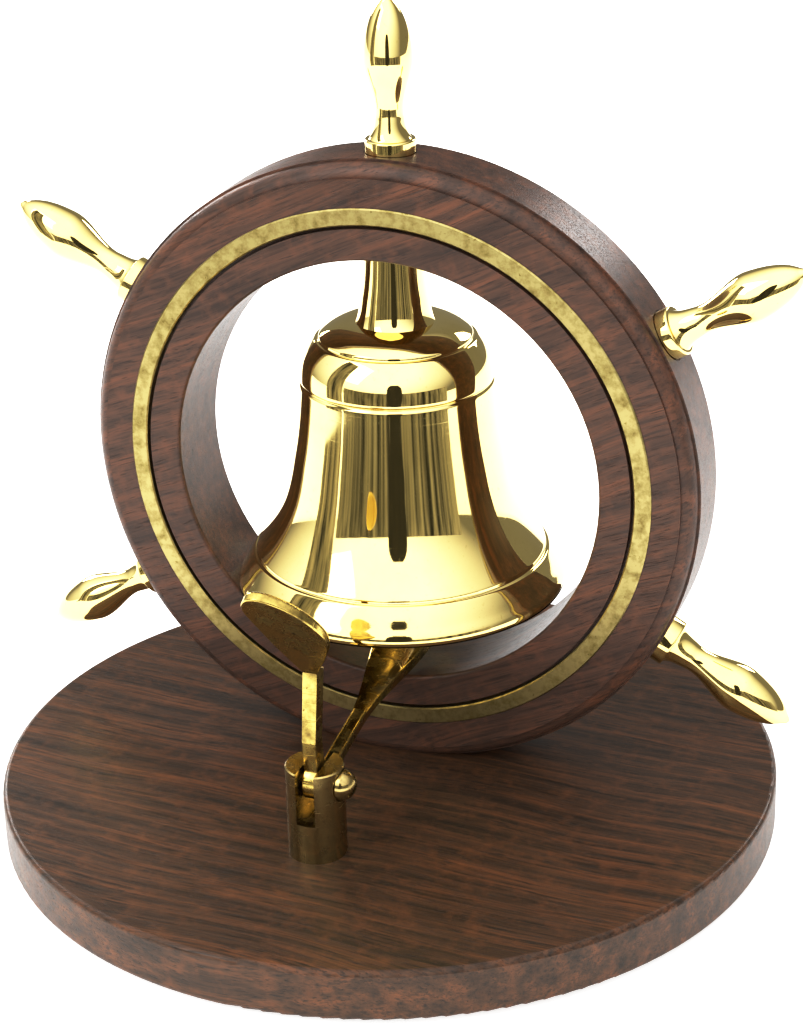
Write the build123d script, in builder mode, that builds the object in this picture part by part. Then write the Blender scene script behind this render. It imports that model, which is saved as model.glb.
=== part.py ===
from build123d import *
import math
import os

os.makedirs("parts", exist_ok=True)

# Sizes are in millimetres. X runs across the wheel, Y from the striker towards the
# back of the wheel, and Z up. The origin is the centre of the felt's underside.

# Base
base_radius = 90.0
base_thickness = 12.0
base_edge_round = 1.2
felt_thickness = 1.2
felt_inset = 5.0

# Wheel
wheel_radius = 72.0
wheel_bore_radius = 50.0
wheel_depth = 21.0
wheel_y = 12.0  # middle of the wheel's depth
wheel_flat_depth = 1.7  # planed off the rim so that it stands on the base
face_inset = 3.6  # the flat front face ends this far inside the rim
bead_step = 0.6
moulding_depth = 3.6
moulding_step = 0.5
bore_edge_round = 0.8

# Brass ring let into the wheel's front face
inlay_from_bore = 8.0
inlay_width = 4.0
inlay_gap = 0.7  # left open on the inner side of the ring
inlay_groove_depth = 2.0
inlay_proud = 0.4
inlay_clearance = 0.05
inlay_edge_chamfer = 0.3

# Handles
handle_length = 34.3
handle_seat_depth = 0.4  # flat spot in the rim under each flange
seat_clearance = 0.25
flange_radius = 5.6
flange_height = 3.3
flange_edge_round = 0.5
shoulder_radius = 4.7
shoulder_direction = (-0.9, 1.0)
neck_radius = 3.2
neck_height = 8.2
belly_radius = 5.45
belly_height = 22.0
nib_radius = 1.6
nib_height = 1.5
handles = {
    "handle_top": 90.0,
    "handle_upper_right": 30.0,
    "handle_upper_left": 150.0,
    "handle_lower_left": 210.0,
    "handle_lower_right": 330.0,
}

# Studs of the four side handles
stud_radius = 1.75
stud_in_handle = 12.0
stud_in_rim = 10.0
thread_clearance = 0.03
drill_past = 1.0  # how far a through hole's cutter runs past the bore
hole_spare = 0.5  # a blind hole is this much deeper than what it holds

# Bell, with heights above its lip
bell_mouth_height = 41.0  # from the top of the base to the lip
lip_radius = 37.8
lip_thickness = 2.3
lip_edge_height = 1.0
lip_bulge_radius = 36.4
lip_bulge_height = 4.0
band_radius = 33.6
band_height = 8.6
waist_low_radius = 27.2
waist_low_height = 19.0
waist_mid_radius = 23.9
waist_mid_height = 33.0
shoulder_radius_low = 22.0
shoulder_height = 49.4
cap_radius = 17.7
cap_height = 59.4
crown_height = 62.8
shoulder_bulge = 1.1
crown_rim = 0.5  # flat part of the crown outside the stem
crown_bulge_out = 0.6
crown_bulge_up = 0.7
waist_top_direction = (0.08, -1.0)
waist_foot_direction = (0.75, -1.0)
wall_thickness = 2.0
crown_thickness = 3.0
line_depth = 0.4  # the three turned lines round the bell
line_half_width = 0.675

# Stem that carries the bell, and the rod through it
stem_foot_radius = 9.0
stem_waist_radius = 7.45
stem_waist_height = 6.0
stem_top_radius = 6.4
stem_foot_direction = (-0.6, 1.0)
stem_top_direction = (-0.05, 1.0)
rod_radius = 2.0
rod_clearance = 0.2
rod_in_handle = 14.0
rod_below_nut = 2.0
nut_across_flats = 7.0
nut_height = 3.2
washer_radius = 4.5
washer_thickness = 0.8

# Striker post
post_y = -44.5
post_radius = 6.5
post_height = 21.5
post_edge_chamfer = 0.3
slot_width = 4.3
slot_depth = 12.2
pivot_below_top = 4.2
post_screw_radius = 2.5
post_screw_depth = 6.5

# Pivot screw
pivot_radius = 1.5
pivot_clearance = 0.05
pivot_end_recess = 0.4
pivot_head_radius = 3.5
pivot_head_rim = 0.9
pivot_head_dome = 2.7
pivot_dome_middle = (0.632, 0.715)  # parts of the radius and of the dome, midway round the dome
pivot_head_seat = 0.6  # flat spot in the post's side
driver_slot_width = 0.9
driver_slot_depth = 1.1
driver_slot_turn = 35.0

# Striker, with heights above its pivot
striker_gap = 0.5  # each side of the hub in the slot
hub_radius = 4.0
bar_depth = 4.2
bar_knee_height = 10.5
bar_knee_forward = 0.8
bar_height = 26.0
bar_top_back = 1.7
bar_into_paddle = 2.4
bar_edge_round = 0.4
paddle_lean = 33.0
paddle_thickness = 2.6
paddle_outline = [(-5.4, 10.0), (-8.3, 19.5), (-9.0, 25.0), (-7.0, 28.0), (-1.0, 27.4), (4.6, 22.4), (7.4, 15.0), (5.0, 6.5)]
paddle_back_round = 1.1
paddle_front_round = 0.4
hammer_rise = 9.5
hammer_thickness = 3.2
hammer_bore_gap = 0.35
neck_length = 24.0
hammer_outline = [(2.9, 36.0), (6.3, 53.0), (6.8, 60.0), (4.6, 70.5)]
hammer_length = 74.0
hammer_edge_round = 0.8
dish_radius = 12.0
dish_depth = 0.9
dish_start = 27.0

# Screws that hold the wheel and the post from below
wheel_screw_spacing = 16.0
wheel_screw_radius = 2.0
wheel_screw_bite = 14.0
screw_head_spread = 2.3
screw_head_recess = 0.3
screw_hole_clearance = 0.1

# Worked out from the sizes above
face_radius = wheel_radius - face_inset
inlay_inner_radius = wheel_bore_radius + inlay_from_bore
inlay_outer_radius = inlay_inner_radius + inlay_width
base_top = felt_thickness + base_thickness
wheel_z = base_top + wheel_radius - wheel_flat_depth
wheel_half = wheel_depth / 2
seat_radius = wheel_radius - handle_seat_depth
bell_z = base_top + bell_mouth_height
crown_z = bell_z + crown_height
bore_top = wheel_z + wheel_bore_radius
post_top = base_top + post_height
slot_floor = post_top - slot_depth
pivot_z = post_top - pivot_below_top
striker_width = slot_width - 2 * striker_gap
head_seat_x = post_radius - pivot_head_seat
screw_head_z = felt_thickness + screw_head_recess
wheel_centre = Vector(0, wheel_y, wheel_z)
wheel_axis = Axis((0, wheel_y, wheel_z), (0, 1, 0))
wheel_section = Plane(origin=(0, wheel_y, wheel_z), x_dir=(1, 0, 0), z_dir=(0, 0, 1))
bell_axis = Axis((0, wheel_y, 0), (0, 0, 1))
wheel_screw_places = [(side * wheel_screw_spacing / 2, wheel_y) for side in (-1, 1)]


def outward(angle):
    """Direction from the wheel's centre through its rim, this many degrees above +X."""
    return Vector(math.cos(math.radians(angle)), 0, math.sin(math.radians(angle)))


def rim_plane(angle):
    """Plane of a handle's seat on the rim, facing out."""
    out = outward(angle)
    return Plane(origin=wheel_centre + out * seat_radius, x_dir=(0, 1, 0), z_dir=out)


def spoke_section(angle):
    """Plane through a handle's axis: X is the radius and Y the height above the seat."""
    out = outward(angle)
    return Plane(origin=wheel_centre + out * seat_radius, x_dir=(0, 1, 0), z_dir=Vector(0, 1, 0).cross(out))


def upright_section(y, z):
    """Plane through an upright axis: X is the radius and Y the height above z."""
    return Plane(origin=(0, y, z), x_dir=(1, 0, 0), z_dir=(0, -1, 0))


def save(piece, name):
    piece.label = name
    export_step(piece, f"parts/{name}.step")


# Felt pad under the base
with BuildPart() as felt_pad:
    with BuildSketch(Plane.XY):
        Circle(base_radius - felt_inset)
    extrude(amount=felt_thickness)
save(felt_pad.part, "felt_pad")

# Base disc, drilled and countersunk from below
with BuildPart() as base_disc:
    with BuildSketch(Plane.XY.offset(felt_thickness)):
        Circle(base_radius)
    extrude(amount=base_thickness)
    fillet(base_disc.edges().filter_by(GeomType.CIRCLE), base_edge_round)
    with Locations(Location((0, post_y, felt_thickness), (180, 0, 0))):
        post_hole = post_screw_radius + screw_hole_clearance
        CounterSinkHole(post_hole, post_hole + screw_head_spread + screw_head_recess, base_thickness)
    with Locations([Location((x, y, felt_thickness), (180, 0, 0)) for x, y in wheel_screw_places]):
        wheel_hole = wheel_screw_radius + screw_hole_clearance
        CounterSinkHole(wheel_hole, wheel_hole + screw_head_spread + screw_head_recess, base_thickness)
save(base_disc.part, "base_disc")

# Wheel rim: one turned ring of wood, with the same moulding on both outer edges
with BuildPart() as wheel_rim:
    with BuildSketch(wheel_section) as rim_section:
        with BuildLine():
            step_radius = wheel_radius - moulding_step
            quarter = math.sqrt(0.5)
            arc_mid_x = face_radius + quarter * (step_radius - face_radius)
            arc_mid_y = wheel_half - moulding_depth + quarter * (moulding_depth - bead_step)
            Line((wheel_bore_radius, 0), (wheel_bore_radius, wheel_half))
            Line((wheel_bore_radius, wheel_half), (face_radius, wheel_half))
            Line((face_radius, wheel_half), (face_radius, wheel_half - bead_step))
            ThreePointArc(
                (face_radius, wheel_half - bead_step),
                (arc_mid_x, arc_mid_y),
                (step_radius, wheel_half - moulding_depth),
            )
            Line((step_radius, wheel_half - moulding_depth), (wheel_radius, wheel_half - moulding_depth))
            Line((wheel_radius, wheel_half - moulding_depth), (wheel_radius, 0))
            mirror(about=Plane.XZ)
        make_face()
        fillet(rim_section.vertices().group_by(Axis.X)[0], bore_edge_round)
    revolve(axis=wheel_axis)
    # groove for the brass ring
    with BuildSketch(wheel_section):
        with Locations((inlay_outer_radius - (inlay_width + inlay_gap) / 2, -wheel_half)):
            Rectangle(inlay_width + inlay_gap, 2 * inlay_groove_depth)
    revolve(axis=wheel_axis, mode=Mode.SUBTRACT)
    # flat foot
    split(bisect_by=Plane.XY.offset(base_top), keep=Keep.TOP)
    # handle seats, and holes for their studs and for the bell's rod
    for name, angle in handles.items():
        with BuildSketch(rim_plane(angle)):
            Circle(flange_radius + seat_clearance)
        extrude(amount=flange_height, mode=Mode.SUBTRACT)
        with BuildSketch(rim_plane(angle)):
            Circle(rod_radius + rod_clearance if name == "handle_top" else stud_radius + thread_clearance)
        through = seat_radius - wheel_bore_radius + drill_past
        extrude(amount=-(through if name == "handle_top" else stud_in_rim + hole_spare), mode=Mode.SUBTRACT)
    # pilot holes of the two screws from below
    with BuildSketch(Plane.XY.offset(base_top)):
        with Locations(wheel_screw_places):
            Circle(wheel_screw_radius + thread_clearance)
    extrude(amount=wheel_screw_bite + hole_spare, mode=Mode.SUBTRACT)
save(wheel_rim.part, "wheel_rim")

# Brass ring in the front face
with BuildPart() as inlay_ring:
    with BuildSketch(wheel_section) as inlay_section:
        with Locations((
            (inlay_inner_radius + inlay_outer_radius) / 2,
            -wheel_half + (inlay_groove_depth - inlay_proud) / 2,
        )):
            Rectangle(
                inlay_outer_radius - inlay_inner_radius - 2 * inlay_clearance,
                inlay_groove_depth + inlay_proud,
            )
        chamfer(inlay_section.vertices().group_by(Axis.Y)[0], inlay_edge_chamfer)
    revolve(axis=wheel_axis)
save(inlay_ring.part, "brass_inlay_ring")

# Five turned brass handles, bored for a stud or, at the top, for the bell's rod
for name, angle in handles.items():
    with BuildPart() as handle:
        with BuildSketch(spoke_section(angle)) as handle_section:
            with BuildLine():
                Line((0, 0), (flange_radius, 0))
                Line((flange_radius, 0), (flange_radius, flange_height))
                Line((flange_radius, flange_height), (shoulder_radius, flange_height))
                Spline(
                    (shoulder_radius, flange_height),
                    (neck_radius, neck_height),
                    (belly_radius, belly_height),
                    (nib_radius, handle_length - nib_height),
                    (0, handle_length),
                    tangents=[shoulder_direction, (-1.0, 0.0)],
                )
                Line((0, handle_length), (0, 0))
            make_face()
            fillet(handle_section.vertices().group_by(Axis.X)[-1].sort_by(Axis.Y)[-1], flange_edge_round)
        revolve(axis=Axis(rim_plane(angle).origin, outward(angle)))
        with BuildSketch(rim_plane(angle)):
            Circle((rod_radius if name == "handle_top" else stud_radius) + thread_clearance)
        bored = rod_in_handle if name == "handle_top" else stud_in_handle
        extrude(amount=bored + hole_spare, mode=Mode.SUBTRACT)
    save(handle.part, name)

# Four studs, half in the rim and half in the side handles
with BuildPart() as handle_studs:
    for name, angle in handles.items():
        if name != "handle_top":
            with BuildSketch(rim_plane(angle).offset(-stud_in_rim)):
                Circle(stud_radius)
            extrude(amount=stud_in_rim + stud_in_handle)
save(handle_studs.part, "handle_studs")

# Bell
with BuildPart() as bell:
    with BuildSketch(upright_section(wheel_y, bell_z)):
        with BuildLine():
            hole_radius = rod_radius + rod_clearance
            crown_inside = crown_height - crown_thickness
            crown_edge = stem_foot_radius + crown_rim
            Line((hole_radius, crown_inside), (hole_radius, crown_height))
            Line((hole_radius, crown_height), (crown_edge, crown_height))
            ThreePointArc(
                (crown_edge, crown_height),
                (
                    (crown_edge + cap_radius) / 2 + crown_bulge_out,
                    (crown_height + cap_height) / 2 + crown_bulge_up,
                ),
                (cap_radius, cap_height),
            )
            ThreePointArc(
                (cap_radius, cap_height),
                (
                    (cap_radius + shoulder_radius_low) / 2 + shoulder_bulge,
                    (cap_height + shoulder_height) / 2 + shoulder_bulge / 2,
                ),
                (shoulder_radius_low, shoulder_height),
            )
            Spline(
                (shoulder_radius_low, shoulder_height),
                (waist_mid_radius, waist_mid_height),
                (waist_low_radius, waist_low_height),
                (band_radius, band_height),
                tangents=[waist_top_direction, waist_foot_direction],
            )
            ThreePointArc(
                (band_radius, band_height),
                (lip_bulge_radius, lip_bulge_height),
                (lip_radius, lip_edge_height),
            )
            Line((lip_radius, lip_edge_height), (lip_radius, 0))
            Line((lip_radius, 0), (lip_radius - lip_thickness, 0))
            Spline(
                (lip_radius - lip_thickness, 0),
                (band_radius - lip_thickness, band_height),
                (waist_low_radius - wall_thickness, waist_low_height),
                (waist_mid_radius - wall_thickness, waist_mid_height),
                (shoulder_radius_low - wall_thickness, shoulder_height),
                (cap_radius - crown_thickness, crown_inside),
            )
            Line((cap_radius - crown_thickness, crown_inside), (hole_radius, crown_inside))
        make_face()
    revolve(axis=bell_axis)
    # three turned lines
    with BuildSketch(upright_section(wheel_y, bell_z)):
        for line_radius, line_height in (
            (band_radius, band_height),
            (shoulder_radius_low, shoulder_height),
            (cap_radius, cap_height),
        ):
            with BuildLine():
                Polyline(
                    (line_radius + line_depth, line_height - line_half_width),
                    (line_radius - line_depth, line_height),
                    (line_radius + line_depth, line_height + line_half_width),
                    close=True,
                )
            make_face()
    revolve(axis=bell_axis, mode=Mode.SUBTRACT)
save(bell.part, "bell")

# Stem between the bell's crown and the wheel's bore, hollowed at the top to the bore
with BuildPart() as bell_stem:
    with BuildSketch(upright_section(wheel_y, crown_z)):
        with BuildLine():
            stem_height = bore_top - crown_z
            Line((rod_radius + rod_clearance, 0), (stem_foot_radius, 0))
            Spline(
                (stem_foot_radius, 0),
                (stem_waist_radius, stem_waist_height),
                (stem_top_radius, stem_height),
                tangents=[stem_foot_direction, stem_top_direction],
            )
            Line((stem_top_radius, stem_height), (rod_radius + rod_clearance, stem_height))
            Line((rod_radius + rod_clearance, stem_height), (rod_radius + rod_clearance, 0))
        make_face()
    revolve(axis=bell_axis)
    with BuildSketch(Plane(origin=wheel_centre, x_dir=(1, 0, 0), z_dir=(0, -1, 0))):
        Circle(wheel_bore_radius)
    extrude(amount=wheel_depth, both=True, mode=Mode.INTERSECT)
save(bell_stem.part, "bell_stem")

# Washer, nut and rod that clamp the bell, the stem and the top handle to the rim
washer_top = crown_z - crown_thickness
nut_top = washer_top - washer_thickness
rod_bottom = nut_top - nut_height - rod_below_nut
rod_top = wheel_z + seat_radius + rod_in_handle

with BuildPart() as bell_washer:
    with BuildSketch(Plane.XY.offset(nut_top)):
        with Locations((0, wheel_y)):
            Circle(washer_radius)
            Circle(rod_radius + rod_clearance, mode=Mode.SUBTRACT)
    extrude(amount=washer_thickness)
save(bell_washer.part, "bell_washer")

with BuildPart() as bell_nut:
    with BuildSketch(Plane.XY.offset(nut_top - nut_height)):
        with Locations((0, wheel_y)):
            RegularPolygon(nut_across_flats / 2, 6, major_radius=False)
            Circle(rod_radius + thread_clearance, mode=Mode.SUBTRACT)
    extrude(amount=nut_height)
save(bell_nut.part, "bell_nut")

with BuildPart() as hanger_rod:
    with BuildSketch(Plane.XY.offset(rod_bottom)):
        with Locations((0, wheel_y)):
            Circle(rod_radius)
    extrude(amount=rod_top - rod_bottom)
save(hanger_rod.part, "hanger_rod")

# Striker post: a slotted brass rod
head_plane = Plane(origin=(head_seat_x, post_y, pivot_z), x_dir=(0, 1, 0), z_dir=(1, 0, 0))

with BuildPart() as striker_post:
    with BuildSketch(Plane.XY.offset(base_top)):
        with Locations((0, post_y)):
            Circle(post_radius)
    extrude(amount=post_height)
    chamfer(striker_post.edges().group_by(Axis.Z)[-1], post_edge_chamfer)
    with BuildSketch(Plane.XY.offset(slot_floor)):
        with Locations((0, post_y)):
            Rectangle(slot_width, 4 * post_radius)
    extrude(amount=slot_depth, mode=Mode.SUBTRACT)
    with BuildSketch(head_plane):
        Circle(pivot_head_radius + seat_clearance)
    extrude(amount=post_radius, mode=Mode.SUBTRACT)
    with BuildSketch(head_plane):
        Circle(pivot_radius + pivot_clearance)
    extrude(amount=-head_seat_x, mode=Mode.SUBTRACT)
    with BuildSketch(head_plane):
        Circle(pivot_radius + thread_clearance)
    extrude(amount=-3 * post_radius, mode=Mode.SUBTRACT)
    with BuildSketch(Plane.XY.offset(base_top)):
        with Locations((0, post_y)):
            Circle(post_screw_radius + thread_clearance)
    extrude(amount=post_screw_depth + hole_spare, mode=Mode.SUBTRACT)
save(striker_post.part, "striker_post")

# Pivot screw: its shank crosses the slot and its tip is threaded in the far ear
with BuildPart() as pivot_screw:
    screw_section = Plane(origin=(head_seat_x, post_y, pivot_z), x_dir=(0, 1, 0), z_dir=(0, 0, -1))
    shank_length = head_seat_x + post_radius - pivot_end_recess
    with BuildSketch(screw_section):
        with BuildLine():
            Polyline(
                (0, pivot_head_rim + pivot_head_dome),
                (0, -shank_length),
                (pivot_radius, -shank_length),
                (pivot_radius, 0),
                (pivot_head_radius, 0),
                (pivot_head_radius, pivot_head_rim),
            )
            ThreePointArc(
                (pivot_head_radius, pivot_head_rim),
                (
                    pivot_head_radius * pivot_dome_middle[0],
                    pivot_head_rim + pivot_head_dome * pivot_dome_middle[1],
                ),
                (0, pivot_head_rim + pivot_head_dome),
            )
        make_face()
    revolve(axis=Axis((head_seat_x, post_y, pivot_z), (1, 0, 0)))
    with BuildSketch(head_plane.offset(pivot_head_rim + pivot_head_dome)):
        Rectangle(3 * pivot_head_radius, driver_slot_width, rotation=driver_slot_turn)
    extrude(amount=-driver_slot_depth, mode=Mode.SUBTRACT)
save(pivot_screw.part, "pivot_screw")

# Striker: one casting with a hub, an upright bar with the thumb paddle, and a hammer
# arm that lies back over the wheel's bore and under the bell
rise = math.radians(hammer_rise)
lean = math.radians(paddle_lean)
bore_floor = wheel_z - math.sqrt(wheel_bore_radius**2 - max(x for x, s in hammer_outline) ** 2)
arm_top_at_wheel = bore_floor + hammer_bore_gap + hammer_thickness / math.cos(rise)
arm_top_at_pivot = arm_top_at_wheel - (wheel_y - wheel_half - post_y) * math.tan(rise)
side_plane = Plane(origin=(0, post_y, pivot_z), x_dir=(0, 1, 0), z_dir=(1, 0, 0))
hammer_plane = Plane(
    origin=(0, post_y, arm_top_at_pivot), x_dir=(1, 0, 0), z_dir=(0, -math.sin(rise), math.cos(rise))
)
paddle_plane = Plane(
    origin=(0, post_y + bar_top_back - bar_depth / 2, pivot_z + bar_height),
    x_dir=(1, 0, 0),
    z_dir=(0, -math.cos(lean), -math.sin(lean)),
)
dish_plane = Plane(
    origin=hammer_plane.from_local_coords((0, dish_start, 0)),
    x_dir=(1, 0, 0),
    z_dir=(0, math.cos(rise), math.sin(rise)),
)

with BuildPart() as paddle:
    with BuildSketch(paddle_plane):
        with BuildLine():
            Spline((-striker_width / 2, 0), *paddle_outline, (striker_width / 2, 0))
            Line((striker_width / 2, 0), (-striker_width / 2, 0))
        make_face()
    extrude(amount=-paddle_thickness)
    fillet(paddle.faces().filter_by(paddle_plane).sort_by(Axis.Y)[-1].edges(), paddle_back_round)
    fillet(paddle.faces().filter_by(paddle_plane).sort_by(Axis.Y)[0].edges(), paddle_front_round)

with BuildPart() as hammer:
    with BuildSketch(hammer_plane):
        with BuildLine():
            Line((0, 0), (striker_width / 2, 0))
            Line((striker_width / 2, 0), (striker_width / 2, neck_length))
            Spline(
                (striker_width / 2, neck_length),
                *hammer_outline,
                (0, hammer_length),
                tangents=[(0, 1), (-1, 0)],
            )
            mirror(about=Plane.YZ)
        make_face()
    extrude(amount=-hammer_thickness)
    fillet(hammer.faces().filter_by(hammer_plane).edges(), hammer_edge_round)
    # shallow dish along the top
    with BuildSketch(dish_plane):
        with Locations((0, dish_depth - dish_radius)):
            Circle(dish_radius)
    extrude(amount=hammer_length, mode=Mode.SUBTRACT)

with BuildPart() as striker:
    half_bar = bar_depth / 2
    with BuildSketch(side_plane):
        with BuildLine():
            Polyline(
                (-half_bar, 0),
                (-half_bar - bar_knee_forward, bar_knee_height),
                (bar_top_back - half_bar, bar_height + bar_into_paddle),
                (bar_top_back + half_bar, bar_height),
                (half_bar - bar_knee_forward, bar_knee_height),
                (half_bar, 0),
                close=True,
            )
        make_face()
        Circle(hub_radius)
    extrude(amount=striker_width / 2, both=True)
    fillet(striker.faces().filter_by(Axis.X).edges(), bar_edge_round)
    add(paddle.part)
    add(hammer.part)
    with BuildSketch(side_plane):
        Circle(pivot_radius + pivot_clearance)
    extrude(amount=striker_width, both=True, mode=Mode.SUBTRACT)
save(striker.part, "striker")


# Countersunk screws from below, with the head at the bottom
def screw_outline(radius, length):
    """Half outline of a countersunk screw: head radius and cone first, then the shank."""
    head_radius = radius + screw_head_spread
    return [
        (0, 0),
        (head_radius, 0),
        (radius, screw_head_spread),
        (radius, length),
        (0, length),
    ]


with BuildPart() as post_screw:
    with BuildSketch(upright_section(post_y, screw_head_z)):
        with BuildLine():
            Polyline(*screw_outline(post_screw_radius, base_top + post_screw_depth - screw_head_z), close=True)
        make_face()
    revolve(axis=Axis((0, post_y, 0), (0, 0, 1)))
save(post_screw.part, "post_screw")

with BuildPart() as wheel_screws:
    for x, y in wheel_screw_places:
        with BuildSketch(Plane(origin=(x, y, screw_head_z), x_dir=(1, 0, 0), z_dir=(0, -1, 0))):
            with BuildLine():
                Polyline(*screw_outline(wheel_screw_radius, base_top + wheel_screw_bite - screw_head_z), close=True)
            make_face()
        revolve(axis=Axis((x, y, 0), (0, 0, 1)))
save(wheel_screws.part, "wheel_screws")
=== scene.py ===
import math

import bpy
import numpy as np
from mathutils import Matrix, Vector


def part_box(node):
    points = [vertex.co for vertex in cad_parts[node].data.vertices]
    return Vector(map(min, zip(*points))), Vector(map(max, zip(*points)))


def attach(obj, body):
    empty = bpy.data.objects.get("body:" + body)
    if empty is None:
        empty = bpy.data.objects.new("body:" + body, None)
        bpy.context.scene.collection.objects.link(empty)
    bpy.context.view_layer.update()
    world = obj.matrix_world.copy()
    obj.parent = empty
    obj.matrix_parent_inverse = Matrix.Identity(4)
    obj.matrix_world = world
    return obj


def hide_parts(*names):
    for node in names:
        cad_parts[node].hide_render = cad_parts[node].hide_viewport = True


# Ship bell in a wooden wheel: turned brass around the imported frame, then finishes, lights and camera
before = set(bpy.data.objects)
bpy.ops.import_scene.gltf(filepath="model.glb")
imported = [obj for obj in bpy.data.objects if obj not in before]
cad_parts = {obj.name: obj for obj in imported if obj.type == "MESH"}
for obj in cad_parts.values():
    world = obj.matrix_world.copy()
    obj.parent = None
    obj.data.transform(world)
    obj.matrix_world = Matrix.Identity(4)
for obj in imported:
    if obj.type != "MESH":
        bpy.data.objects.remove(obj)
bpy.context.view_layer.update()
mm = 0.001
print("Frame loaded:", len(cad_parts), "nodes")

# Places read from the frame
wheelLow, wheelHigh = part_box("wheel_rim")
bellLow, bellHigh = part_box("bell")
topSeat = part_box("handle_top")[0].z
wheelCentre = Vector((0.0, (wheelLow.y + wheelHigh.y) / 2, wheelHigh.z - wheelHigh.x))
seatRadius = topSeat - wheelCentre.z
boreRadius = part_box("bell_stem")[1].z - wheelCentre.z


# A smooth curve through the points: cubic pieces whose slope at a point is that of the parabola
# through its two neighbours, measured along the straight runs between points. It takes three
# points or more; firstWay and lastWay set the direction at an end
def smoothThrough(points, steps, firstWay=None, lastWay=None):
    points = np.asarray(points, float)
    runs = np.linalg.norm(np.diff(points, axis=0), axis=1)
    chords = np.diff(points, axis=0) / runs[:, None]
    slopes = np.empty_like(points)
    weights = runs[:-1, None] / (runs[:-1] + runs[1:])[:, None]
    slopes[1:-1] = chords[:-1] * (1 - weights) + chords[1:] * weights
    slopes[0] = 2 * chords[0] - slopes[1]
    slopes[-1] = 2 * chords[-1] - slopes[-2]
    if firstWay is not None:
        slopes[0] = np.array(firstWay) / np.linalg.norm(firstWay)
    if lastWay is not None:
        slopes[-1] = np.array(lastWay) / np.linalg.norm(lastWay)
    t = np.linspace(0, 1, steps, endpoint=False)[None, :, None]
    a, b = points[:-1, None], points[1:, None]
    ta = slopes[:-1, None] * runs[:, None, None]
    tb = slopes[1:, None] * runs[:, None, None]
    curve = (
        a * (2 * t**3 - 3 * t**2 + 1)
        + ta * (t**3 - 2 * t**2 + t)
        + b * (3 * t**2 - 2 * t**3)
        + tb * (t**3 - t**2)
    )
    return np.vstack([curve.reshape(-1, 2), points[-1:]])


# Corners of an outline, each rounded by a quadratic curve that starts and ends "soft" away from it
def softCorners(corners, steps=6):
    spots = np.array([c[:2] for c in corners], float)
    soft = np.array([c[2] if len(c) > 2 else 0.0 for c in corners])
    out = []
    for i, spot in enumerate(spots):
        if soft[i] == 0:
            out.append(spot[None])
            continue
        before, after = spots[i - 1] - spot, spots[(i + 1) % len(spots)] - spot
        start = spot + before / np.linalg.norm(before) * soft[i]
        end = spot + after / np.linalg.norm(after) * soft[i]
        s = np.linspace(0, 1, steps)[:, None]
        out.append(start * (1 - s) ** 2 + 2 * s * (1 - s) * spot + end * s**2)
    return np.vstack(out)


# Puts whole arrays of points and faces into a mesh object
def meshPiece(name, points, faces, finish, creaseDegrees=35):
    mesh = bpy.data.meshes.new(name)
    mesh.from_pydata(points.tolist(), [], faces)
    mesh.shade_smooth()
    mesh.set_sharp_from_angle(angle=math.radians(creaseDegrees))
    piece = bpy.data.objects.new(name, mesh)
    bpy.context.scene.collection.objects.link(piece)
    mesh.materials.append(finish)
    return piece


# A turned shape: outline point (r, h) swept round the axis,
# point(i, j) = origin + axis * h_i + r_i * (side * cos(angle_j) + front * sin(angle_j)).
# An outline runs up the outside of the metal; one that starts or ends on the axis is closed by a fan,
# and a loop is closed by joining its last row to its first
def turned(name, outline, origin, axis, finish, turns, loop=False, topFit=None):
    axis = np.array(axis, float)
    side = np.cross(axis, (0, 1, 0)) if abs(axis[1]) < 0.9 else np.array((1.0, 0, 0))
    side = side / np.linalg.norm(side)
    front = np.cross(axis, side)
    angle = np.arange(turns) * 2 * math.pi / turns
    around = np.cos(angle)[:, None] * side + np.sin(angle)[:, None] * front
    radius, height = outline[:, 0] * mm, outline[:, 1] * mm
    points = np.array(origin) + height[:, None, None] * axis + radius[:, None, None] * around
    if topFit is not None:
        points = topFit(points)
    rows = len(outline)
    first = 1 if outline[0, 0] == 0 else 0
    last = rows - 1 if outline[-1, 0] == 0 else rows
    body = points[first:last]
    grid = np.arange(len(body) * turns).reshape(len(body), turns)
    if loop:
        grid = np.vstack([grid, grid[:1]])
    low, high = grid[:-1], grid[1:]
    faces = np.stack([low, np.roll(low, -1, 1), np.roll(high, -1, 1), high], -1).reshape(-1, 4).tolist()
    allPoints = [body.reshape(-1, 3)]
    count = body.shape[0] * turns
    if first:
        allPoints.append(points[0, :1])
        ring = grid[0]
        faces += np.stack([np.full(turns, count), np.roll(ring, -1), ring], -1).tolist()
        count += 1
    if last < rows:
        allPoints.append(points[-1, :1])
        ring = grid[-1]
        faces += np.stack([np.full(turns, count), ring, np.roll(ring, -1)], -1).tolist()
    return meshPiece(name, np.vstack(allPoints), faces, finish)


# Adds a node; wires maps an input's name or number to a value or to another node's output
def put(tree, kind, wires, **settings):
    item = tree.nodes.new(kind)
    for key, value in settings.items():
        setattr(item, key, value)
    for key, value in wires.items():
        if isinstance(value, bpy.types.NodeSocket):
            tree.links.new(value, item.inputs[key])
        else:
            item.inputs[key].default_value = value
    return item


def mixed(tree, factor, a, b):
    return put(tree, "ShaderNodeMix", {0: factor, 6: a, 7: b}, data_type="RGBA").outputs[2]


def sums(tree, operation, a, b, clamp=False):
    return put(tree, "ShaderNodeMath", {0: a, 1: b}, operation=operation, use_clamp=clamp).outputs[0]


def vectorSums(tree, operation, a, b):
    return put(tree, "ShaderNodeVectorMath", {0: a, 1: b}, operation=operation).outputs[0]


def noise(tree, vector, scale, detail, roughness):
    wires = {"Vector": vector, "Scale": scale, "Detail": detail, "Roughness": roughness}
    return put(tree, "ShaderNodeTexNoise", wires).outputs["Fac"]


def stretch(tree, vector, scale, turn=(0.0, 0.0, 0.0)):
    wires = {"Vector": vector, "Scale": scale, "Rotation": turn}
    return put(tree, "ShaderNodeMapping", wires).outputs[0]


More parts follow.
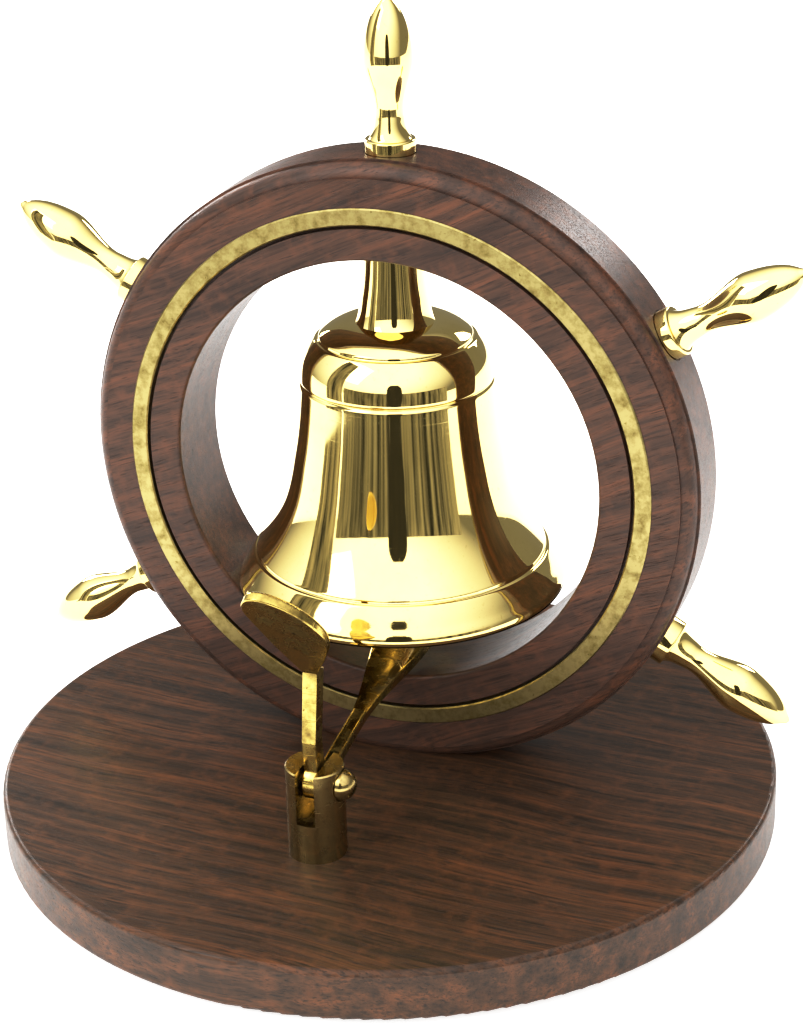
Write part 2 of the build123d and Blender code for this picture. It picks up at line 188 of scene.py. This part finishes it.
def band(tree, value, low, high, toLow=0.0, toHigh=1.0):
    wires = {"Value": value, "From Min": low, "From Max": high, "To Min": toLow, "To Max": toHigh}
    return put(tree, "ShaderNodeMapRange", wires).outputs[0]


def newGroup(name, inputs, outputs):
    group = bpy.data.node_groups.new(name, "ShaderNodeTree")
    for socketName, kind, value in inputs:
        socket = group.interface.new_socket(name=socketName, in_out="INPUT", socket_type=kind)
        if value is not None:
            socket.default_value = value
    for socketName, kind in outputs:
        group.interface.new_socket(name=socketName, in_out="OUTPUT", socket_type=kind)
    return group, group.nodes.new("NodeGroupInput").outputs, group.nodes.new("NodeGroupOutput")


def joinUp(group, sink, wires):
    for key, value in wires.items():
        group.links.new(value, sink.inputs[key])


vectorSocket, floatSocket, colourSocket = "NodeSocketVector", "NodeSocketFloat", "NodeSocketColor"


# A pattern's three scales stretch it along X, the way of the grain; a larger number is finer
grainSizes = {
    "wander": 22.0,
    "drift": (0.0, 0.006, 0.006),  # how far the grain wanders sideways, metres
    "broad": (11, 300, 300),
    "fine": (42, 1600, 1600),
    "pores": (190, 3600, 3600),
    "mottle": 260.0,
}


# Straight-grained hardwood: broad and fine streaks, dark pores and a soft mottle
def woodGrainGroup():
    group, given, sink = newGroup(
        "woodGrain",
        [
            ("Vector", vectorSocket, None),
            ("Light", colourSocket, (0.1, 0.05, 0.03, 1)),
            ("Middle", colourSocket, (0.06, 0.03, 0.02, 1)),
            ("Dark", colourSocket, (0.02, 0.01, 0.01, 1)),
            ("Streaks", floatSocket, 1.0),
        ],
        [("Color", colourSocket), ("Roughness", floatSocket), ("Height", floatSocket)],
    )
    vector = given["Vector"]
    wander = put(
        group, "ShaderNodeTexNoise", {"Vector": vector, "Scale": grainSizes["wander"], "Detail": 1.0}
    )
    centred = vectorSums(group, "SUBTRACT", wander.outputs["Color"], (0.5, 0.5, 0.5))
    shift = vectorSums(group, "MULTIPLY", centred, grainSizes["drift"])
    bent = vectorSums(group, "ADD", vector, shift)
    broad = noise(group, stretch(group, bent, grainSizes["broad"]), 1.0, 5.0, 0.68)
    fine = noise(group, stretch(group, bent, grainSizes["fine"]), 1.0, 3.0, 0.62)
    pores = noise(group, stretch(group, bent, grainSizes["pores"]), 1.0, 1.0, 0.5)
    mottle = noise(group, bent, grainSizes["mottle"], 3.0, 0.6)
    lightPart = band(group, broad, 0.5, 0.72)
    darkPart = band(group, broad, 0.5, 0.3)
    poreMask = band(group, pores, 0.6, 0.74)
    tone = mixed(group, lightPart, given["Middle"], given["Light"])
    tone = mixed(group, sums(group, "MULTIPLY", darkPart, given["Streaks"], True), tone, given["Dark"])
    fineMask = band(group, fine, 0.52, 0.3)
    tone = mixed(group, sums(group, "MULTIPLY", fineMask, given["Streaks"], True), tone, given["Dark"])
    tone = mixed(group, band(group, mottle, 0.5, 0.8, 0.0, 0.55), tone, given["Light"])
    tone = mixed(group, sums(group, "MULTIPLY", poreMask, 0.75), tone, given["Dark"])
    gloss = band(group, fine, 0.3, 0.7, 0.3, 0.42)
    roughness = sums(group, "ADD", gloss, sums(group, "MULTIPLY", poreMask, 0.15))
    height = sums(group, "SUBTRACT", sums(group, "MULTIPLY", fine, 0.3), poreMask)
    joinUp(group, sink, {"Color": tone, "Roughness": roughness, "Height": height})
    return group


# Two sets of scratches, each drawn out along one axis of its own turned vector
skinSizes = {
    "specks": 900.0,
    "lengthwise": (60, 60, 2600),
    "lengthwiseTurn": (0.3, 0.5, 0.2),
    "crosswise": (2400, 50, 50),
    "crosswiseTurn": (0.2, 0.1, 0.7),
}


# Worn skin of the brass, the steel and the felt: cloudy tone, small dark specks and fine scratches
def wornSkinGroup():
    group, given, sink = newGroup(
        "wornSkin",
        [
            ("Vector", vectorSocket, None),
            ("Bright", colourSocket, (0.9, 0.7, 0.25, 1)),
            ("Dull", colourSocket, (0.5, 0.36, 0.1, 1)),
            ("Cloud Scale", floatSocket, 90.0),
            ("Dulling", floatSocket, 0.4),
            ("Gloss Low", floatSocket, 0.05),
            ("Gloss High", floatSocket, 0.2),
        ],
        [("Color", colourSocket), ("Roughness", floatSocket), ("Height", floatSocket)],
    )
    vector = given["Vector"]
    cloud = noise(group, vector, given["Cloud Scale"], 4.0, 0.62)
    specks = noise(group, vector, skinSizes["specks"], 2.0, 0.5)
    lengthwiseAt = stretch(group, vector, skinSizes["lengthwise"], skinSizes["lengthwiseTurn"])
    crosswiseAt = stretch(group, vector, skinSizes["crosswise"], skinSizes["crosswiseTurn"])
    lengthwise = noise(group, lengthwiseAt, 1.0, 2.0, 0.6)
    crosswise = noise(group, crosswiseAt, 1.0, 2.0, 0.6)
    dull = sums(group, "MULTIPLY", band(group, cloud, 0.42, 0.72), given["Dulling"], True)
    speckMask = sums(group, "MULTIPLY", band(group, specks, 0.66, 0.74), given["Dulling"], True)
    tone = mixed(group, dull, given["Bright"], given["Dull"])
    tone = mixed(group, speckMask, tone, given["Dull"])
    scratchMasks = band(group, lengthwise, 0.62, 0.72), band(group, crosswise, 0.64, 0.74)
    scratch = sums(group, "MAXIMUM", *scratchMasks)
    worn = sums(group, "MAXIMUM", sums(group, "MULTIPLY", scratch, 0.5), dull, True)
    spread = sums(group, "SUBTRACT", given["Gloss High"], given["Gloss Low"])
    roughness = sums(group, "ADD", given["Gloss Low"], sums(group, "MULTIPLY", spread, worn))
    swell = sums(group, "MULTIPLY", cloud, 0.15)
    height = sums(group, "SUBTRACT", swell, sums(group, "MULTIPLY", scratch, 0.1))
    joinUp(group, sink, {"Color": tone, "Roughness": roughness, "Height": height})
    return group


woodGrain = woodGrainGroup()
wornSkin = wornSkinGroup()


# A material with its group on Object coordinates, turned by "turn", feeding one Principled shader
def finishFrom(name, group, values, shader, bumpHeight, bumpStrength, turn=(0, 0, 0)):
    material = bpy.data.materials.new(name)
    material.use_nodes = True
    tree = material.node_tree
    tree.nodes.clear()
    place = put(tree, "ShaderNodeTexCoord", {}).outputs["Object"]
    vector = put(tree, "ShaderNodeMapping", {"Vector": place, "Rotation": turn}).outputs[0]
    effect = put(tree, "ShaderNodeGroup", {}, node_tree=group)
    tree.links.new(vector, effect.inputs["Vector"])
    for key, value in values.items():
        effect.inputs[key].default_value = value
    bump = put(
        tree,
        "ShaderNodeBump",
        {"Height": effect.outputs["Height"], "Strength": bumpStrength, "Distance": bumpHeight},
    )
    wires = {
        "Base Color": effect.outputs["Color"],
        "Roughness": effect.outputs["Roughness"],
        "Normal": bump.outputs[0],
    }
    wires.update(shader)
    principled = put(tree, "ShaderNodeBsdfPrincipled", wires)
    output = put(tree, "ShaderNodeOutputMaterial", {})
    tree.links.new(principled.outputs[0], output.inputs[0])
    return material


# Finishes: colours are linear, and a larger Cloud Scale makes finer clouds
baseWoodLook = {
    "Light": (0.150, 0.062, 0.026, 1),
    "Middle": (0.070, 0.036, 0.019, 1),
    "Dark": (0.022, 0.015, 0.010, 1),
    "Streaks": 0.95,
}
wheelWoodLook = {
    "Light": (0.150, 0.062, 0.032, 1),
    "Middle": (0.078, 0.040, 0.026, 1),
    "Dark": (0.026, 0.017, 0.013, 1),
    "Streaks": 0.75,
}
varnish = {"IOR": 1.45}
baseGrainTurn = (0, 0, math.radians(4))
wheelGrainTurn = (0, math.radians(24), 0)
baseWood = finishFrom("baseWood", woodGrain, baseWoodLook, varnish, 0.00012, 0.35, baseGrainTurn)
wheelWood = finishFrom("wheelWood", woodGrain, wheelWoodLook, varnish, 0.00012, 0.35, wheelGrainTurn)

polishedLook = {
    "Bright": (0.85, 0.69, 0.30, 1),
    "Dull": (0.60, 0.45, 0.15, 1),
    "Cloud Scale": 60.0,
    "Dulling": 0.25,
    "Gloss Low": 0.035,
    "Gloss High": 0.16,
}
satinLook = {
    "Bright": (0.44, 0.37, 0.17, 1),
    "Dull": (0.17, 0.13, 0.03, 1),
    "Cloud Scale": 420.0,
    "Dulling": 0.75,
    "Gloss Low": 0.32,
    "Gloss High": 0.5,
}
agedLook = {
    "Bright": (0.50, 0.39, 0.17, 1),
    "Dull": (0.17, 0.12, 0.055, 1),
    "Cloud Scale": 260.0,
    "Dulling": 0.7,
    "Gloss Low": 0.16,
    "Gloss High": 0.42,
}
castLook = {
    "Bright": (0.66, 0.50, 0.16, 1),
    "Dull": (0.10, 0.07, 0.03, 1),
    "Cloud Scale": 200.0,
    "Dulling": 0.9,
    "Gloss Low": 0.14,
    "Gloss High": 0.5,
}
steelLook = {
    "Bright": (0.55, 0.54, 0.52, 1),
    "Dull": (0.30, 0.29, 0.27, 1),
    "Cloud Scale": 300.0,
    "Dulling": 0.5,
    "Gloss Low": 0.22,
    "Gloss High": 0.4,
}
feltLook = {
    "Bright": (0.020, 0.042, 0.026, 1),
    "Dull": (0.010, 0.022, 0.014, 1),
    "Cloud Scale": 1400.0,
    "Dulling": 0.9,
    "Gloss Low": 0.9,
    "Gloss High": 1.0,
}
metal = {"Metallic": 1.0}
polishedBrass = finishFrom("polishedBrass", wornSkin, polishedLook, metal, 0.00005, 0.1)
satinBrass = finishFrom("satinBrass", wornSkin, satinLook, metal, 0.00008, 0.3)
agedBrass = finishFrom("agedBrass", wornSkin, agedLook, metal, 0.0001, 0.4)
castBrass = finishFrom("castBrass", wornSkin, castLook, metal, 0.0003, 0.5)
steel = finishFrom("steel", wornSkin, steelLook, metal, 0.00005, 0.3)
felt = finishFrom("felt", wornSkin, feltLook, {"Sheen Weight": 0.4}, 0.0003, 0.6)

nodeFinish = {
    "felt_pad": felt,
    "base_disc": baseWood,
    "wheel_rim": wheelWood,
    "brass_inlay_ring": satinBrass,
    "handle_studs": steel,
    "bell_washer": steel,
    "bell_nut": steel,
    "hanger_rod": steel,
    "striker_post": agedBrass,
    "pivot_screw": agedBrass,
    "striker": castBrass,
    "post_screw": steel,
    "wheel_screws": steel,
}
for nodeName, finish in nodeFinish.items():
    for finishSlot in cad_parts[nodeName].material_slots:
        finishSlot.material = finish
print("Finishes made:", len(bpy.data.materials))

# Bell: (radius, height above the lip) in millimetres, and directions as (outwards, up)
bellSizes = {
    "lipInside": 35.5,
    "lipOutside": 37.8,
    "lipSoft": 0.4,
    "outside": [(37.8, 1.0), (36.4, 4.0), (33.6, 8.6), (27.2, 19.0), (23.9, 33.0), (22.0, 49.4)],
    "bandWay": (-0.75, 1),  # the wall's direction where the lip's band ends and the waist starts
    "waistTopWay": (-0.08, 1),
    "shoulder": [(22.0, 49.4), (20.95, 54.95), (17.7, 59.4)],
    "shoulderWay": (-0.05, 1),
    "crown": [(17.7, 59.4), (14.2, 61.8), (9.5, 62.8)],
    "hole": 2.2,
    "height": 62.8,
    "crownThick": 3.0,
    "inside": [(14.7, 59.8), (20.0, 49.4), (21.9, 33.0), (25.2, 19.0), (31.3, 8.6), (35.5, 0.0)],
    "grooves": [(33.6, 8.6), (22.0, 49.4), (17.7, 59.4)],
    "grooveDepth": 0.4,
    "grooveWidth": 0.42,
    "spacing": 0.9,  # between points along the outline
    "grooveReach": 1.4,  # closer points lie this far each side of a groove
    "groovePoints": 21,
}


# Even points along the outline, closer together near each turned groove, then every point is moved
# inwards by depth * exp(-(distance to groove / width)^2)
def bellOutline(sizes):
    lip = softCorners([(sizes["lipInside"], 0), (sizes["lipOutside"], 0, sizes["lipSoft"])])
    wall = np.vstack(
        [
            smoothThrough(sizes["outside"][:3], 24, firstWay=(0, 1), lastWay=sizes["bandWay"]),
            smoothThrough(sizes["outside"][2:], 40, sizes["bandWay"], sizes["waistTopWay"])[1:],
            smoothThrough(sizes["shoulder"], 24, firstWay=sizes["shoulderWay"])[1:],
            smoothThrough(sizes["crown"], 24, lastWay=(-1, 0))[1:],
        ]
    )
    along = np.concatenate([[0], np.cumsum(np.linalg.norm(np.diff(wall, axis=0), axis=1))])
    spots = [
        along[np.argmin(np.linalg.norm(wall - groove, axis=1))] for groove in np.array(sizes["grooves"])
    ]
    nearby = np.linspace(-sizes["grooveReach"], sizes["grooveReach"], sizes["groovePoints"])
    stations = np.concatenate(
        [np.arange(0, along[-1], sizes["spacing"])] + [spot + nearby for spot in spots]
    )
    stations = np.unique(np.clip(np.append(stations, along[-1]), 0, along[-1]).round(3))
    wall = np.stack([np.interp(stations, along, wall[:, k]) for k in (0, 1)], 1)
    way = np.gradient(wall, axis=0)
    inward = np.stack([-way[:, 1], way[:, 0]], 1) / np.linalg.norm(way, axis=1)[:, None]
    for spot in spots:
        dent = sizes["grooveDepth"] * np.exp(-(((stations - spot) / sizes["grooveWidth"]) ** 2))
        wall += inward * dent[:, None]
    top = [(sizes["hole"], sizes["height"]), (sizes["hole"], sizes["height"] - sizes["crownThick"])]
    return np.vstack([lip, wall, top, smoothThrough(sizes["inside"], 14)[:-1]])


upward = (0, 0, 1)
lipAt = (0, wheelCentre.y, bellLow.z)
crownAt = (0, wheelCentre.y, bellHigh.z)
bellPiece = turned("bellShell", bellOutline(bellSizes), lipAt, upward, polishedBrass, 256, True)
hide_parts("bell")
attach(bellPiece, "stand")

# Stem: (radius, height above the crown) in millimetres
stemSizes = {
    "hole": 2.2,
    "outside": [(9.0, 0.0), (7.45, 6.0), (6.4, 16.5)],
    "footWay": (-0.6, 1.0),
    "topWay": (-0.05, 1.0),
}


# The top of the stem follows the round bore: height = sqrt(bore^2 - x^2) above the wheel's centre
def fitToBore(points):
    bore = wheelCentre.z + np.sqrt(boreRadius**2 - points[..., 0] ** 2)
    points[..., 2] = np.minimum(points[..., 2], bore)
    return points


stemOutline = np.vstack(
    [
        [(stemSizes["hole"], 0.0)],
        smoothThrough(stemSizes["outside"], 24, stemSizes["footWay"], stemSizes["topWay"]),
        [(stemSizes["hole"], stemSizes["outside"][-1][1])],
    ]
)
stemPiece = turned("bellStem", stemOutline, crownAt, upward, polishedBrass, 128, True, fitToBore)
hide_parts("bell_stem")
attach(stemPiece, "stand")

# Handles: (radius, distance out from the seat on the rim) in millimetres; a third number in the
# flange softens its corner, and a bore is (radius, depth)
handleSizes = {
    "flange": [(5.6, 0.0, 0.15), (5.6, 3.3, 0.5), (4.7, 3.3)],
    "grip": [(4.7, 3.3), (3.2, 8.2), (5.45, 22.0), (1.6, 32.8), (0.0, 34.3)],
    "neckWay": (-0.9, 1.0),
    "tipWay": (-1, 0),
    "angles": {
        "handle_top": 90,
        "handle_upper_right": 30,
        "handle_upper_left": 150,
        "handle_lower_left": 210,
        "handle_lower_right": 330,
    },
    "rodBore": (2.03, 14.5),
    "studBore": (1.78, 12.5),
}
for nodeName, degrees in handleSizes["angles"].items():
    boreR, boreDeep = handleSizes["rodBore" if nodeName == "handle_top" else "studBore"]
    outline = np.vstack(
        [
            [(0.0, boreDeep), (boreR, boreDeep)],
            softCorners([(boreR, 0.0)] + handleSizes["flange"]),
            smoothThrough(handleSizes["grip"], 22, handleSizes["neckWay"], handleSizes["tipWay"])[1:],
        ]
    )
    outward = Vector((math.cos(math.radians(degrees)), 0, math.sin(math.radians(degrees))))
    seat = wheelCentre + outward * seatRadius
    handle = turned(nodeName + "_turned", outline, seat, outward, polishedBrass, 96)
    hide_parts(nodeName)
    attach(handle, "stand")
print("Turned brass made")

# Floor: a flat grid at height 0
floorSizes = {
    "half": 3.0,
    "lines": 9,
    "colour": (0.93, 0.93, 0.92, 1),
    "roughness": 0.9,
    "glow": 0.55,
}
gridSide = np.linspace(-floorSizes["half"], floorSizes["half"], floorSizes["lines"])
floorX, floorY = np.meshgrid(gridSide, gridSide)
floorPoints = np.stack([floorX, floorY, np.zeros_like(floorX)], -1).reshape(-1, 3)
floorCells = np.arange(floorX.size).reshape(floorX.shape)
floorFaces = np.stack(
    [floorCells[:-1, :-1], floorCells[:-1, 1:], floorCells[1:, 1:], floorCells[1:, :-1]], -1
).reshape(-1, 4)
floorLook = bpy.data.materials.new("paleFloor")
floorLook.use_nodes = True
floorShader = floorLook.node_tree.nodes["Principled BSDF"]
floorShader.inputs["Base Color"].default_value = floorSizes["colour"]
floorShader.inputs["Roughness"].default_value = floorSizes["roughness"]
floorShader.inputs["Emission Color"].default_value = (1, 1, 1, 1)
floorShader.inputs["Emission Strength"].default_value = floorSizes["glow"]
floorPiece = meshPiece("paleFloor", floorPoints, floorFaces.tolist(), floorLook)

# Cards round the object: only reflections show them, and they give the brass its darker bands.
# A card is part of an upright wall round the bell's axis, point(u, v) = axis + reach * (sin(u), -cos(u))
# at height v, narrowed towards its top and foot by 1 - taper * (2v - 1)^4
cardSizes = {
    # name: (reach, first and last bearing from the front in degrees, foot, top, taper, tone)
    "lowCard": (0.44, -42, 78, 0.0, 0.155, 0.0, (0.30, 0.29, 0.25, 1)),
    "sideCard": (0.43, -66, -44, 0.0, 0.62, 0.0, (0.42, 0.40, 0.33, 1)),
    "tallCard": (0.41, 9, 26, 0.0, 0.30, 0.5, (0.035, 0.03, 0.02, 1)),
}

cardGrid = (13, 33)  # rows and columns of points
# Painted fold shade: the cards are flat, and darker upright streaks stand in for the shade in a hanging
# cloth's folds
cardFoldShadeSizes = (34, 34, 2.5)
foldShadeTone = (0.02, 0.02, 0.015, 1)


def wallCard(name, reach, firstBearing, lastBearing, foot, top, taper, tone):
    upGrid, acrossGrid = np.linspace(0, 1, cardGrid[0]), np.linspace(-0.5, 0.5, cardGrid[1])
    v, u = np.meshgrid(upGrid, acrossGrid, indexing="ij")
    middle, spread = (firstBearing + lastBearing) / 2, lastBearing - firstBearing
    bearing = np.radians(middle + spread * u * (1 - taper * (2 * v - 1) ** 4))
    across, along = np.sin(bearing) * reach, wheelCentre.y - np.cos(bearing) * reach
    points = np.stack([across, along, foot + (top - foot) * v], -1).reshape(-1, 3)
    cells = np.arange(v.size).reshape(v.shape)
    faces = np.stack([cells[:-1, :-1], cells[1:, :-1], cells[1:, 1:], cells[:-1, 1:]], -1).reshape(-1, 4)
    look = bpy.data.materials.new(name)
    look.use_nodes = True
    tree = look.node_tree
    place = put(tree, "ShaderNodeTexCoord", {}).outputs["Object"]
    # Painted shade: the fold streaks darken the card's tone towards the dark fold colour
    foldShadeNoise = noise(tree, stretch(tree, place, cardFoldShadeSizes), 1.0, 3.0, 0.6)
    shade = mixed(tree, band(tree, foldShadeNoise, 0.35, 0.65), foldShadeTone, tone)
    shader = tree.nodes["Principled BSDF"]
    tree.links.new(shade, shader.inputs["Base Color"])
    shader.inputs["Roughness"].default_value = 0.95
    card = meshPiece(name, points, faces.tolist(), look)
    card.visible_camera = card.visible_shadow = card.visible_diffuse = False


for cardName, cardValues in cardSizes.items():
    wallCard(cardName, *cardValues)
print("Floor and cards made")

# Light
lightSizes = {
    "skyBright": (1.0, 1.0, 1.0, 1),
    "skyDim": (0.14, 0.14, 0.135, 1),
    "skyStrength": 2.1,
    "skyWay": (-0.12, -0.62, 0.775),  # towards the bright part of the sky
    "skyFrom": 0.0,
    "skyTo": 0.8,
    "lamps": [
        # name, place, aims at, width, height, power
        ("keyLamp", (-0.9, -0.9, 1.1), (0, 0, 0.08), 1.0, 1.0, 7.0),
        ("backLamp", (0.35, 1.15, 0.62), (0.06, 0, 0.02), 0.3, 0.45, 3.5),
        ("sheenLamp", (-1.0, 0.8, 0.5), (-0.05, 0, 0.02), 0.35, 0.45, 5.0),
    ],
}
world = bpy.data.worlds.new("studio")
bpy.context.scene.world = world
world.use_nodes = True
skyTree = world.node_tree
skyTree.nodes.clear()
skyAt = put(skyTree, "ShaderNodeTexCoord", {}).outputs["Generated"]
skyDot = put(skyTree, "ShaderNodeVectorMath", {0: skyAt, 1: lightSizes["skyWay"]}, operation="DOT_PRODUCT")
skyPart = band(skyTree, skyDot.outputs["Value"], lightSizes["skyFrom"], lightSizes["skyTo"])
skyTone = mixed(skyTree, skyPart, lightSizes["skyDim"], lightSizes["skyBright"])
skyShader = put(skyTree, "ShaderNodeBackground", {"Color": skyTone, "Strength": lightSizes["skyStrength"]})
skyOut = put(skyTree, "ShaderNodeOutputWorld", {})
skyTree.links.new(skyShader.outputs[0], skyOut.inputs[0])
for lampName, lampPlace, lampAim, lampWidth, lampHeight, lampPower in lightSizes["lamps"]:
    lampData = bpy.data.lights.new(lampName, "AREA")
    lampData.shape = "RECTANGLE"
    lampData.size, lampData.size_y, lampData.energy = lampWidth, lampHeight, lampPower
    lamp = bpy.data.objects.new(lampName, lampData)
    lamp.location = lampPlace
    lamp.rotation_euler = (Vector(lampAim) - Vector(lampPlace)).to_track_quat("-Z", "Y").to_euler()
    bpy.context.scene.collection.objects.link(lamp)
print("Lights set")

# Camera
cameraSizes = {
    "place": (0.1886, -0.4818, 0.30336),
    "turn": 0.3645,  # to the left of straight ahead, radians
    "dip": 0.4155,  # below level, radians
    "roll": -0.0280,
    "lens": 88.47,
    "nearest": 0.01,
}
turn, dip, roll = cameraSizes["turn"], cameraSizes["dip"], cameraSizes["roll"]
ahead = Vector((-math.sin(turn) * math.cos(dip), math.cos(turn) * math.cos(dip), -math.sin(dip)))
levelRight = Vector((math.cos(turn), math.sin(turn), 0))
levelUp = levelRight.cross(ahead)
right = levelRight * math.cos(roll) + levelUp * math.sin(roll)
up = levelUp * math.cos(roll) - levelRight * math.sin(roll)
cameraData = bpy.data.cameras.new("camera")
cameraData.lens = cameraSizes["lens"]
cameraData.clip_start = cameraSizes["nearest"]
cameraObject = bpy.data.objects.new("camera", cameraData)
pose = Matrix((right, up, -ahead)).transposed().to_4x4()
pose.translation = Vector(cameraSizes["place"])
cameraObject.matrix_world = pose
bpy.context.scene.collection.objects.link(cameraObject)
bpy.context.scene.camera = cameraObject
viewSettings = bpy.context.scene.view_settings
viewSettings.view_transform = "Standard"
# A little more contrast: darker shadows and lighter lights
toneSpots = [(0.12, 0.08), (0.3, 0.27), (0.5, 0.55), (0.8, 0.9)]
viewSettings.use_curve_mapping = True
toneCurve = viewSettings.curve_mapping.curves[3]
for spot in toneSpots:
    toneCurve.points.new(*spot)
viewSettings.curve_mapping.update()
print("Camera set")
